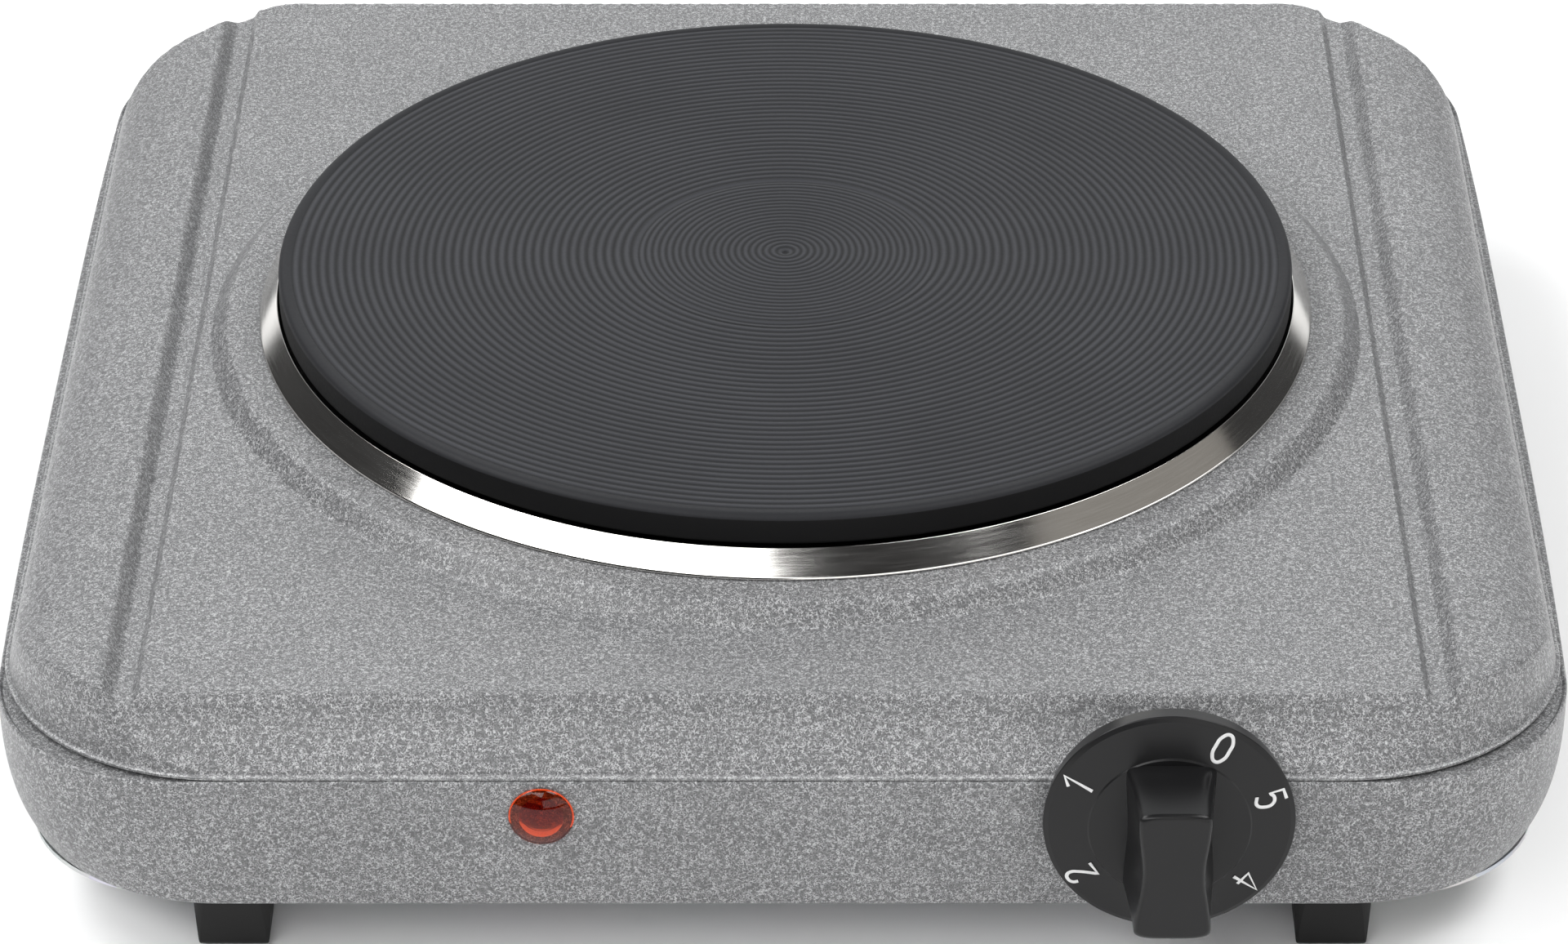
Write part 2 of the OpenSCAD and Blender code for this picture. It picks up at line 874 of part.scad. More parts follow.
module mains_screws() {
    color("#c8a24a")
        at_body()
            for (i = [-1:1])
                translate([block_x + i * 11.5, block_y, floor_z + 8.4])
                    cylinder(h = 4, r = 1.7, $fn = small_fn);
}

module block_screw() {
    color("#b8babc")
        at_body()
            translate([block_x, block_y, foot_top])
                mirror([0, 0, 1])
                    pan_screw(1.2, 3.4, 2.4, 1.2);
}

// ---- wires ----

blade_tab = [knob_x - case_w / 2 - 7, cam_y + 2, blade_z + 1.75];
fixed_tab = [knob_x + case_w / 2 + 7, cam_y + 2, blade_z - 0.8];

module wire_live() {
    color("#7a4a2a")
        at_body()
            wire([fixed_tab, [93, -112, 20], [98, -96, 18], [99, -40, 18], [98, 40, 18],
                [92, 74, 18], [79, 86, 20], [73.5, 94, 20], [73.5, 101, 20]], 1.1);
}

module wire_switched() {
    color("#7a4a2a")
        at_body()
            wire([blade_tab, [34, -112, 26], [28, -90, 30], [20, -50, 30], [-4, -20, 30],
                [-16, 12, 31], [-14, 30, 32.5], [coil_start()[0], coil_start()[1], 34],
                [coil_start()[0], coil_start()[1], 38]], 1.1);
}

module wire_neutral() {
    color("#3a5f9a")
        at_body()
            wire([[62.9, 101, 20], [62.6, 94, 20], [58, 86, 22], [46, 80, 27], [34, 74, 31],
                [coil_end()[0], coil_end()[1], 34], [coil_end()[0], coil_end()[1], 38]], 1.1);
}

module wire_earth() {
    color("#8fa23a")
        at_body()
            wire([[50.5, 111, 20], [50.5, 116, 20.5], [55, 121, 23], [74, 122, 25],
                [92, 116, 23], [99, 106, 20], [earth_x, earth_y + 3, 17.9]], 1.1);
}

module wire_lamp_a() {
    color("#7a4a2a")
        at_body()
            wire([[-lamp_x + 2, wall_y + 20.4, lamp_z], [-34, -108, 31], [-20, -104, 26],
                [16, -104, 22], [30, -111, 20.5],
                [38, -119, blade_z - 0.75]], 0.7);
}

module wire_lamp_b() {
    color("#3a5f9a")
        at_body()
            wire([[-lamp_x - 2, wall_y + 20.4, lamp_z], [-48, -106, 30], [-66, -90, 22],
                [-74, -60, 18], [-74, 40, 18], [-60, 84, 18], [-10, 96, 18], [30, 90, 18],
                [56, 88, 19.4], [60.5, 94, 20], [60.5, 101, 20]], 0.7);
}

module earth_screw() {
    color("#c8a24a")
        at_body()
            translate([earth_x, earth_y, foot_top])
                mirror([0, 0, 1])
                    pan_screw(2, 7, 3.6, 1.6);
}

module earth_nut() {
    color("#c8a24a")
        at_body()
            translate([earth_x, earth_y, floor_z])
                hex_nut(7, 2.6, 2);
}

// ---- feet and fasteners ----

// Side view of a foot that is w wide at its top: sides drawn in by t, lower corners rounded
module foot_side(w, t) {
    r1 = w / 2 - t;
    e = 1.2;
    right = [for (i = [0:4]) [r1 - e + e * sin(22.5 * i), e - e * cos(22.5 * i)]];
    left = [for (i = [4:-1:0]) [-right[i][0], right[i][1]]];
    polygon(concat(right, [[w / 2, foot_top], [-w / 2, foot_top]], left));
}

module foot(sx, sy) {
    hw = foot_w / 2;
    hl = foot_l / 2;
    color("#1d1d1f")
        at_body()
            translate([sx * foot_x, sy * foot_y, 0])
                difference() {
                    intersection() {
                        linear_extrude(height = foot_top)
                            round_rect(hw, hl, 3.6, $fn = small_fn);
                        along_y(-hl, hl)
                            foot_side(foot_w, 0.9);
                        rotate([0, 0, 90])
                            along_y(-hw, hw)
                                foot_side(foot_l, 0.9);
                    }
                    translate([0, 0, -over])
                        cylinder(h = 6 + over, r = 3.6, $fn = small_fn);
                    translate([0, 0, -over])
                        cylinder(h = foot_top + 2 * over, r = 2.1, $fn = small_fn);
                }
}

module foot_front_left() {
    foot(-1, -1);
}

module foot_front_right() {
    foot(1, -1);
}

module foot_rear_left() {
    foot(-1, 1);
}

module foot_rear_right() {
    foot(1, 1);
}

module foot_screws() {
    color("#b8babc")
        at_body()
            at_corners(foot_x, foot_y)
                translate([0, 0, 6])
                    mirror([0, 0, 1])
                        pan_screw(2, 12.4, 3.3, 2);
}

module foot_nuts() {
    color("#b8babc")
        at_body()
            at_corners(foot_x, foot_y)
                translate([0, 0, floor_z])
                    hex_nut(7, 3, 2);
}

module cover_screws() {
    color("#b8babc")
        at_body()
            at_corners(ear_xy, ear_xy)
                translate([0, 0, joint_z - sheet_t])
                    mirror([0, 0, 1])
                        pan_screw(1.6, 4, 3, 1.8);
}

module bottom_screws() {
    color("#b8babc")
        at_body()
            for (a = [0:90:270])
                rotate([0, 0, a])
                    for (s = [-1, 1])
                        translate([half_base - flange_hole, s * 50, foot_top])
                            mirror([0, 0, 1])
                                pan_screw(1.35, 3.4, 2.6, 1.5);
}

top_cover();
base_shell();
bottom_plate();
hotplate();
trim_ring();
heating_coil();
coil_cement();
plate_pan();
plate_posts();
post_insulators();
centre_stud();
pan_nut();
clamp_bar();
clamp_washer();
clamp_nut();
regulator_bracket();
regulator_case();
regulator_lid();
switch_spindle();
contact_slider();
contact_blade();
fixed_contact();
regulator_screws();
knob();
knob_clip();
lamp_lens();
lamp_body();
lamp_clip();
cord_gland();
gland_nut();
mains_block();
mains_screws();
block_screw();
wire_live();
wire_switched();
wire_neutral();
wire_earth();
wire_lamp_a();
wire_lamp_b();
earth_screw();
earth_nut();
foot_front_left();
foot_front_right();
foot_rear_left();
foot_rear_right();
foot_screws();
foot_nuts();
cover_screws();
bottom_screws();
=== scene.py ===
"""Looks of the single-ring hot plate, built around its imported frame.

Helper functions work in millimetres in the part's own frame; new_piece() turns them into metres.
"""
import json
import math

import bpy
import numpy as np
from mathutils import Matrix, Vector
from mathutils.geometry import delaunay_2d_cdt


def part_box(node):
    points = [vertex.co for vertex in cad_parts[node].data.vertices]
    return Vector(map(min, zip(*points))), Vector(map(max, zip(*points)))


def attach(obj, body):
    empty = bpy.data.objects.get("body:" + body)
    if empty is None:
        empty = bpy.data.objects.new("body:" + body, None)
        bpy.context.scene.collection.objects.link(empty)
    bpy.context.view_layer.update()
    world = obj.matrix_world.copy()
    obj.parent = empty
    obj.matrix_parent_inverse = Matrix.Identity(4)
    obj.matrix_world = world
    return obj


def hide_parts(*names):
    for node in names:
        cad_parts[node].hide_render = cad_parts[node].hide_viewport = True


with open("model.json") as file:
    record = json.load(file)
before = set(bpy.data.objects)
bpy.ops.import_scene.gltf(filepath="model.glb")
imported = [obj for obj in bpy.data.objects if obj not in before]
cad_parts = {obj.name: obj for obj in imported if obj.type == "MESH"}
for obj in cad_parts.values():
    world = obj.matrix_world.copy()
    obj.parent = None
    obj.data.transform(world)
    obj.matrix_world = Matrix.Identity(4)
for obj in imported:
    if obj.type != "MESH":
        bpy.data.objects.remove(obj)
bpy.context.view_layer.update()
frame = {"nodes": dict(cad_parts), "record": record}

MM = 0.001


# ---- places and sizes from the frame, in millimetres ----

def box_mm(node):
    """Lowest and highest corner of a CAD node, in millimetres"""
    low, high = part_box(node)
    return np.array(low) / MM, np.array(high) / MM


PLATE_LOW, PLATE_HIGH = box_mm("hotplate")
BASE_LOW, BASE_HIGH = box_mm("base_shell")
COVER_LOW, COVER_HIGH = box_mm("top_cover")
RING_LOW, RING_HIGH = box_mm("trim_ring")
KNOB_LOW, KNOB_HIGH = box_mm("knob")
LENS_LOW, LENS_HIGH = box_mm("lamp_lens")
AXIS_X = (PLATE_LOW[0] + PLATE_HIGH[0]) / 2
AXIS_Y = (PLATE_LOW[1] + PLATE_HIGH[1]) / 2
PLATE_R = (PLATE_HIGH[0] - PLATE_LOW[0]) / 2
PLATE_TOP = PLATE_HIGH[2]
BASE_HALF = (BASE_HIGH[0] - BASE_LOW[0]) / 2
SEAT_Z = COVER_HIGH[2]
MARK_R = 26.9
INNER_TURNS = (1.6, MARK_R - 1.3, 19)
OUTER_TURNS = (MARK_R + 1.3, PLATE_R - 2.4, 38)
FLOOR_GAP = 0.0002


# ---- mesh helpers ----

def new_piece(name, points, faces, material, body, replaces=()):
    """Makes one mesh piece from points in millimetres and hangs it on its CAD body"""
    mesh = bpy.data.meshes.new(name)
    mesh.from_pydata((np.asarray(points, float) * MM).tolist(), [], faces)
    mesh.polygons.foreach_set("use_smooth", [True] * len(mesh.polygons))
    mesh.materials.append(material)
    mesh.update()
    piece = bpy.data.objects.new(name, mesh)
    bpy.context.scene.collection.objects.link(piece)
    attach(piece, body)
    if replaces:
        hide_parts(*replaces)
    return piece


def flat_shading(piece):
    """Keeps flat faces flat beside their rounded edges"""
    modifier = piece.modifiers.new("weighted_normals", "WEIGHTED_NORMAL")
    modifier.weight = 100
    modifier.keep_sharp = True


def rounded(corners, steps=6):
    """Polyline through (a, b, radius) corners, each corner turned into an arc"""
    line = []
    for i, (a, b, radius) in enumerate(corners):
        here = np.array([a, b], float)
        if radius == 0 or i in (0, len(corners) - 1):
            line.append(here)
            continue
        back = np.array(corners[i - 1][:2]) - here
        ahead = np.array(corners[i + 1][:2]) - here
        back /= np.linalg.norm(back)
        ahead /= np.linalg.norm(ahead)
        half = math.acos(np.clip(back @ ahead, -1, 1)) / 2
        middle = here + (back + ahead) / np.linalg.norm(back + ahead) * radius / math.sin(half)
        start = here + back * radius / math.tan(half) - middle
        end = here + ahead * radius / math.tan(half) - middle
        turn = math.pi - 2 * half
        for k in range(steps + 1):
            t = k / steps
            spot = (math.sin((1 - t) * turn) * start + math.sin(t * turn) * end) / math.sin(turn)
            line.append(middle + spot)
    return np.array(line)


def ring_faces(rings, count):
    """Quads between closed rings of count points each"""
    faces = []
    for i in range(rings - 1):
        for k in range(count):
            a = i * count + k
            b = i * count + (k + 1) % count
            faces.append((a, b, b + count, a + count))
    return faces


def lathe(profile, segments):
    """Surface of revolution about Z; a profile end at radius 0 closes on one point"""
    profile = np.asarray(profile, float)
    turn = np.arange(segments) * 2 * math.pi / segments
    inner = [p for p in profile if p[0] > 1e-6]
    points = [[r * math.cos(t), r * math.sin(t), z] for r, z in inner for t in turn]
    faces = ring_faces(len(inner), segments)
    for end, first in ((profile[0], 0), (profile[-1], (len(inner) - 1) * segments)):
        if end[0] > 1e-6:
            continue
        points.append([0, 0, end[1]])
        tip = len(points) - 1
        for k in range(segments):
            pair = (first + k, first + (k + 1) % segments)
            faces.append((*pair, tip) if first else (pair[1], pair[0], tip))
    return np.array(points), faces


def outline(half_x, half_y, radius, per_corner=48, per_side=8):
    """Closed rounded rectangle, anticlockwise from the middle of the right side"""
    centres = [(1, 1), (-1, 1), (-1, -1), (1, -1)]
    points = []
    for quarter, (sx, sy) in enumerate(centres):
        cx = sx * (half_x - radius)
        cy = sy * (half_y - radius)
        for k in range(per_corner + 1):
            t = (quarter + k / per_corner) * math.pi / 2
            points.append((cx + radius * math.cos(t), cy + radius * math.sin(t)))
        turned = (quarter + 1) % 4
        nx = centres[turned][0] * (half_x - radius)
        ny = centres[turned][1] * (half_y - radius)
        start = np.array(points[-1])
        t = (quarter + 1) * math.pi / 2
        end = np.array((nx + radius * math.cos(t), ny + radius * math.sin(t)))
        for k in range(1, per_side):
            points.append(tuple(start + (end - start) * k / per_side))
    return np.array(points)


def facing_front(points, x, y, z):
    """Turns points built about Z so that Z looks out of the front, and puts them at x, y, z"""
    points = np.asarray(points, float)
    return np.column_stack([x + points[:, 0], y - points[:, 2], z + points[:, 1]])


# ---- materials ----

class Shader:
    """A procedural material, with short calls that add and join its nodes"""

    def __init__(self, name):
        self.material = bpy.data.materials.new(name)
        self.material.use_nodes = True
        self.tree = self.material.node_tree
        self.surface = self.tree.nodes["Principled BSDF"]

    def add(self, kind, settings=None, **inputs):
        node = self.tree.nodes.new("ShaderNode" + kind)
        for key, value in (settings or {}).items():
            setattr(node, key, value)
        for key, value in inputs.items():
            self.put(node, key, value)
        return node

    def put(self, node, key, value):
        """Sets an input, or joins it when value is another node's output"""
        socket = node.inputs[int(key[1:])] if key[0] == "i" and key[1:].isdigit() else node.inputs[key]
        if isinstance(value, bpy.types.NodeSocket):
            self.tree.links.new(value, socket)
        else:
            socket.default_value = value

    def principled(self, **values):
        for key, value in values.items():
            self.put(self.surface, key.replace("_", " "), value)

    def where(self):
        """Object coordinates, in metres"""
        return self.add("TexCoord").outputs["Object"]

    def noise(self, place, scale, detail=2.0, roughness=0.5, distortion=0.0):
        node = self.add("TexNoise", Scale=scale, Detail=detail, Roughness=roughness,
                        Distortion=distortion, Vector=place)
        return node.outputs["Fac"]

    def ramp(self, value, stops):
        """Colour ramp through (position, colour or grey) stops"""
        node = self.add("ValToRGB", Fac=value)
        ramp = node.color_ramp
        while len(ramp.elements) < len(stops):
            ramp.elements.new(0.5)
        for element, (position, colour) in zip(ramp.elements, stops):
            element.position = position
            grey = isinstance(colour, (int, float))
            element.color = (colour, colour, colour, 1) if grey else (*colour, 1)
        return node.outputs["Color"]

    def math(self, operation, a, b=0.0, c=0.0):
        return self.add("Math", {"operation": operation}, i0=a, i1=b, i2=c).outputs[0]

    def mix(self, factor, a, b):
        node = self.add("Mix", {"data_type": "RGBA"})
        for index, value in ((0, factor), (6, a), (7, b)):
            self.put(node, f"i{index}", value)
        return node.outputs[2]

    def bump(self, height, distance, strength=1.0):
        node = self.add("Bump", Height=height, Distance=distance, Strength=strength)
        self.tree.links.new(node.outputs["Normal"], self.surface.inputs["Normal"])
        return node


def speckled_paint():
    """Grey textured enamel: short light grains on a darker ground, with a painted highlight along the
    cover's lip
    """
    s = Shader("speckled_paint")
    place = s.where()
    bent = s.noise(place, 2500, detail=0.8, roughness=0.5, distortion=0.6)
    away = s.math("ABSOLUTE", s.math("SUBTRACT", bent, 0.5))
    line = s.math("SUBTRACT", 1.0, s.math("MULTIPLY", away, 9.0))
    broken = s.ramp(s.noise(place, 1300, detail=1.0), [(0.30, 0.25), (0.55, 1.0)])
    grain = s.math("MULTIPLY", s.math("MAXIMUM", line, 0.0), broken)
    cloud = s.noise(place, 45, detail=3.0)
    level = s.math("ADD", grain, s.math("MULTIPLY", s.math("SUBTRACT", cloud, 0.5), 0.12))
    height = s.add("SeparateXYZ", Vector=place).outputs["Z"]
    # painted highlight: a pale band just above the cover's lower edge stands in for the light caught on the
    # rolled lip
    edge = s.ramp(s.math("MULTIPLY", s.math("SUBTRACT", height, COVER_LOW[2] * MM), 1000.0),
                  [(0.02, 0.0), (0.12, 1.0), (0.62, 1.0), (0.85, 0.0)])
    level = s.math("ADD", level, s.math("MULTIPLY", edge, 0.30))
    colour = s.ramp(level, [(0.0, (0.085, 0.086, 0.089)), (0.45, (0.200, 0.202, 0.206)),
                            (1.0, (0.50, 0.504, 0.51))])
    s.principled(Base_Color=colour, Roughness=0.38, Specular_IOR_Level=0.5, Metallic=0.0)
    s.bump(grain, 0.00005, 0.5)
    return s.material


def around_axis(s):
    """Distance from the plate's axis and angle about it, at each point"""
    apart = s.add("SeparateXYZ", Vector=s.where())
    x = s.math("SUBTRACT", apart.outputs["X"], AXIS_X * MM)
    y = s.math("SUBTRACT", apart.outputs["Y"], AXIS_Y * MM)
    r = s.math("SQRT", s.math("ADD", s.math("MULTIPLY", x, x), s.math("MULTIPLY", y, y)))
    return r, s.math("ARCTAN2", y, x), apart.outputs["Z"]


def crest(s, r, turns):
    """1 on the crests of the turned ridges and 0 in the cuts between them"""
    start, end, count = turns
    phase = s.math("MULTIPLY", s.math("SUBTRACT", r, start * MM), 2 * math.pi * count / ((end - start) * MM))
    return s.math("SUBTRACT", 0.5, s.math("MULTIPLY", s.math("COSINE", phase), 0.5))


def cast_iron():
    """Dark heat-proof coating on turned iron, a little blue, paler on the crests of its ridges as a painted
    highlight
    """
    s = Shader("cast_iron")
    place = s.where()
    r, _, height = around_axis(s)
    outside = s.math("GREATER_THAN", r, MARK_R * MM)
    # painted highlight: the crests of the turned ridges get a paler colour than the cuts, beside the real
    # ridges of the mesh
    crest_highlight = s.mix(outside, crest(s, r, INNER_TURNS), crest(s, r, OUTER_TURNS))
    band = s.math("GREATER_THAN", r, OUTER_TURNS[1] * MM)
    crest_highlight = s.mix(band, crest_highlight, (0.25, 0.25, 0.25, 1))
    cloud = s.noise(place, 28, detail=4.0, roughness=0.6)
    dust = s.noise(place, 1600, detail=2.0)
    pale = s.math("MULTIPLY", crest_highlight, s.math("ADD", 0.55, s.math("MULTIPLY", cloud, 0.9)))
    colour = s.mix(pale, (0.009, 0.0093, 0.0105, 1), (0.036, 0.037, 0.042, 1))
    # painted shade: the plate's side wall below its top is made nearly black
    wall = s.math("LESS_THAN", height, (PLATE_TOP - 1.0) * MM)
    colour = s.mix(wall, colour, (0.003, 0.003, 0.0033, 1))
    rough = s.math("ADD", 0.46, s.math("MULTIPLY", dust, 0.12))
    s.principled(Base_Color=colour, Roughness=rough, Specular_IOR_Level=0.16)
    s.bump(dust, 0.00003, 0.4)
    return s.material


def polished_trim():
    """Polished stainless band with fine circular brushing"""
    s = Shader("polished_trim")
    r, angle, height = around_axis(s)
    lined = s.add("CombineXYZ", X=s.math("MULTIPLY", angle, 0.004), Y=r, Z=height).outputs[0]
    streak = s.noise(lined, 2600, detail=3.0, roughness=0.65)
    rough = s.math("ADD", 0.07, s.math("MULTIPLY", streak, 0.12))
    s.principled(Base_Color=s.mix(streak, (0.62, 0.60, 0.57, 1), (0.80, 0.79, 0.77, 1)), Metallic=1.0,
                 Roughness=rough)
    s.bump(streak, 0.000012, 0.12)
    return s.material


def moulded(name, colour, roughness, grain, depth, gloss=0.5):
    """Moulded plastic or rubber with a fine skin texture"""
    s = Shader(name)
    place = s.where()
    skin = s.noise(place, grain, detail=2.0)
    shade = s.noise(place, 90, detail=2.0)
    darker = tuple(c * 0.75 for c in colour) + (1,)
    uneven = s.math("ADD", roughness, s.math("MULTIPLY", shade, 0.06))
    s.principled(Base_Color=s.mix(shade, darker, (*colour, 1)), Roughness=uneven, Specular_IOR_Level=gloss)
    s.bump(skin, depth, 0.5)
    return s.material


def sheet_metal(name, colour, roughness, spangle):
    """Bare or plated metal, with a faint crystal pattern where spangle is above 0"""
    s = Shader(name)
    place = s.where()
    cells = s.add("TexVoronoi", Scale=140.0, Vector=place).outputs["Color"]
    fine = s.noise(place, 900, detail=3.0)
    tone = s.mix(spangle, (*colour, 1), cells)
    tinted = s.mix(0.75, tone, (*colour, 1))
    s.principled(Base_Color=tinted, Metallic=1.0,
                 Roughness=s.math("ADD", roughness, s.math("MULTIPLY", fine, 0.15)))
    s.bump(fine, 0.00003, 0.4)
    return s.material


def mineral(name, colour):
    """Dry ceramic or pressed cement"""
    s = Shader(name)
    place = s.where()
    spots = s.noise(place, 400, detail=5.0, roughness=0.7)
    dark = tuple(c * 0.8 for c in colour) + (1,)
    s.principled(Base_Color=s.mix(spots, dark, (*colour, 1)), Roughness=0.8)
    s.bump(spots, 0.0001, 0.5)
    return s.material


def amber_glass():
    """Deep amber-red clear plastic of the lamp lens"""
    s = Shader("amber_lens")
    place = s.where()
    haze = s.noise(place, 300, detail=2.0)
    s.principled(Base_Color=(0.64, 0.06, 0.012, 1), IOR=1.36, Transmission_Weight=1.0,
                 Roughness=s.math("MULTIPLY", haze, 0.05))
    return s.material


def lamp_cup():
    """Inside of the lamp: brownish-red bulb end in an orange rim, painted bright towards the top and right
    and dark below as painted light
    """
    s = Shader("lamp_cup")
    apart = s.add("SeparateXYZ", Vector=s.where())
    x = s.math("SUBTRACT", apart.outputs["X"], (LENS_LOW[0] + LENS_HIGH[0]) / 2 * MM)
    z = s.math("SUBTRACT", apart.outputs["Z"], (LENS_LOW[2] + LENS_HIGH[2]) / 2 * MM)
    r = s.math("SQRT", s.math("ADD", s.math("MULTIPLY", x, x), s.math("MULTIPLY", z, z)))
    edge = s.math("GREATER_THAN", r, 3.5 * MM)
    # painted light: the rim goes from dark brown below to bright orange towards the top and right, as if lit
    # from above
    upward = s.math("ADD", z, s.math("MULTIPLY", x, 0.4))
    painted_rim_light = s.ramp(s.math("MULTIPLY", upward, 160.0), [(0.33, 0.0), (0.6, 1.0)])
    grime = s.noise(s.where(), 900, detail=2.0)
    rim = s.mix(painted_rim_light, (0.06, 0.03, 0.02, 1), (1.0, 0.30, 0.04, 1))
    disc = s.mix(grime, (0.030, 0.016, 0.013, 1), (0.055, 0.025, 0.020, 1))
    s.principled(Base_Color=s.mix(edge, disc, rim), Roughness=0.5)
    s.bump(grime, 0.00003, 0.4)
    return s.material


def printed_white():
    """White printed ink of the dial numbers"""
    s = Shader("printed_white")
    worn = s.noise(s.where(), 700, detail=3.0)
    s.principled(Base_Color=s.mix(worn, (0.58, 0.58, 0.58, 1), (0.72, 0.72, 0.72, 1)), Roughness=0.45)
    return s.material


MATERIALS = {
    "speckled_paint": speckled_paint(),
    "cast_iron": cast_iron(),
    "polished_trim": polished_trim(),
    "amber_lens": amber_glass(),
    "black_plastic": moulded("black_plastic", (0.009, 0.009, 0.0095), 0.26, 1500, 0.000015, 0.26),
    "black_rubber": moulded("black_rubber", (0.010, 0.010, 0.010), 0.55, 900, 0.00004, 0.3),
    "brown_resin": moulded("brown_resin", (0.10, 0.06, 0.035), 0.45, 700, 0.00004),
    "lamp_resin": moulded("lamp_resin", (0.66, 0.62, 0.52), 0.5, 700, 0.00003),
    "brown_wire": moulded("brown_wire", (0.16, 0.07, 0.03), 0.5, 1200, 0.00004),
    "blue_wire": moulded("blue_wire", (0.04, 0.11, 0.30), 0.5, 1200, 0.00004),
    "earth_wire": moulded("earth_wire", (0.28, 0.42, 0.06), 0.5, 1200, 0.00004),
    "zinc_sheet": sheet_metal("zinc_sheet", (0.56, 0.57, 0.58), 0.32, 0.35),
    "bright_steel": sheet_metal("bright_steel", (0.62, 0.62, 0.63), 0.25, 0.0),
    "spring_brass": sheet_metal("spring_brass", (0.72, 0.52, 0.24), 0.28, 0.0),
    "resistance_wire": sheet_metal("resistance_wire", (0.26, 0.23, 0.20), 0.5, 0.0),
    "magnesia_cement": mineral("magnesia_cement", (0.60, 0.58, 0.52)),
    "ceramic_white": mineral("ceramic_white", (0.78, 0.75, 0.68)),
}
INK = printed_white()
LAMP_CUP = lamp_cup()


def finish_cad_nodes():
    """Gives every CAD node the procedural material of its slot"""
    for row in frame["record"]["subparts"]:
        node = frame["nodes"][row["node"]]
        node.data.materials.clear()
        node.data.materials.append(MATERIALS[row["material_slot"]])


# ---- cover ----

PANEL_Z = SEAT_Z - 3.7
GROOVE_FLOOR = -1.6
WING_RISE = 1.2
WING_EDGE = 113.6
GROOVE_INNER = (106.9, 108.4)
GROOVE_OUTER = (110.7, 113.9)
SEAT_EDGE = 102.3
SEAT_FOOT = 105.4
LIP_Z = COVER_LOW[2] + 0.3
LIP_X = (COVER_HIGH[0] - COVER_LOW[0]) / 2
LIP_Y = (COVER_HIGH[1] - COVER_LOW[1]) / 2
LIP_R = 39.5
LIP_INSET = 0.02
BEAD_HEIGHT = 0.45
BEAD_RUN = 0.55
FRONT_SLOPE = 0.95
FRONT_CURVE = 0.000536
REAR_SLOPE = 2.2
CORNER_SLOPE = 4.5
OPENING_R = 91.0
CORNER_STEPS = 120
SIDE_STEPS = 60


def smooth_step(value, start, end):
    t = np.clip((value - start) / (end - start), 0, 1)
    return t * t * (3 - 2 * t)


def smooth_min(a, b, width):
    h = np.maximum(width - np.abs(a - b), 0)
    return np.minimum(a, b) - h * h / (4 * width)


def inset(x, y):
    """Distance from a point inside the lip outline to that outline, and which way the outline faces"""
    dx = np.abs(x) - (LIP_X - LIP_R)
    dy = np.abs(y) - (LIP_Y - LIP_R)
    outside = np.hypot(np.maximum(dx, 0), np.maximum(dy, 0))
    turn = np.arctan2(np.maximum(dy, 0), np.maximum(dx, 1e-9))
    return LIP_R - outside - np.minimum(np.maximum(dx, dy), 0), turn


def cover_height(x, y):
    """Height of the cover's outer face over the plan point x, y from the plate's axis"""
    side = np.abs(x)
    top = PANEL_Z + GROOVE_FLOOR * smooth_step(side, *GROOVE_INNER)
    top = top + (WING_RISE - GROOVE_FLOOR) * smooth_step(side, *GROOVE_OUTER)
    fall = np.clip((side - WING_EDGE) / (LIP_X - WING_EDGE), 0, 0.9999)
    top = top - (PANEL_Z + WING_RISE - LIP_Z) * (1 - np.sqrt(1 - fall * fall))
    r = np.hypot(x, y)
    wall = PANEL_Z + (SEAT_FOOT - r) * (SEAT_Z - PANEL_Z) / (SEAT_FOOT - SEAT_EDGE)
    seat = smooth_min(wall, np.full_like(r, SEAT_Z), 1.0)
    top = -smooth_min(-top, -seat, 0.35)
    run = y + LIP_Y
    front = LIP_Z + run * FRONT_SLOPE + FRONT_CURVE * np.maximum(run, 0) ** 4
    rear = LIP_Z + (LIP_Y - y) * REAR_SLOPE
    depth, turn = inset(x, y)
    steep = CORNER_SLOPE - 2.8 * np.sin(2 * turn) * (y > 0)
    bead = BEAD_HEIGHT * np.sqrt(1 - (1 - np.clip(depth / BEAD_RUN, 0, 1)) ** 2)
    edge = LIP_Z + bead + np.maximum(depth - 0.75, 0) * steep
    blend = np.clip((depth - 0.8) * 1.5, 0.02, 2.2)
    return smooth_min(smooth_min(top, smooth_min(front + 0.2, rear, 1.3), 0.8), edge, blend)


def cover_plan():
    """Plan points that follow the cover's edges, outermost ring first, and how many are on it"""
    depths = [LIP_INSET, 0.05, 0.1, 0.17, 0.27, 0.4, 0.55, 0.7, 0.8, 0.95, 1.2, 1.6, 2.1, 2.7, 3.4, 4.2, 5.0,
              6.0, 7.2, 8.6, 10.5, 13.0]
    rings = [outline(LIP_X - d, LIP_Y - d, LIP_R - d, CORNER_STEPS, SIDE_STEPS) for d in depths]
    turn = np.arange(540) * 2 * math.pi / 540
    for r in np.concatenate([[OPENING_R, 94.0, 97.0, 100.0], np.arange(100.8, 103.4, 0.3), [104.2],
                             np.arange(104.9, 106.1, 0.25)]):
        rings.append(np.column_stack([r * np.cos(turn), r * np.sin(turn)]))
    rows = np.arange(-130, 131.1, 2.0)
    for side in (-1, 1):
        for x in np.concatenate([np.arange(106.6, 109.2, 0.25), [110.0], np.arange(110.6, 114.8, 0.3)]):
            rings.append(np.column_stack([np.full(len(rows), side * x), rows]))
    columns = np.arange(-124, 124.1, 2.0)
    creases = np.concatenate([-LIP_Y + np.arange(7.0, 11.6, 0.35), LIP_Y - np.arange(3.4, 7.4, 0.35)])
    for y in creases:
        rings.append(np.column_stack([columns, np.full(len(columns), y)]))
    plan = np.vstack(rings)
    inside = inset(plan[:, 0], plan[:, 1])[0] > 0.01
    return plan[inside], len(rings[0])


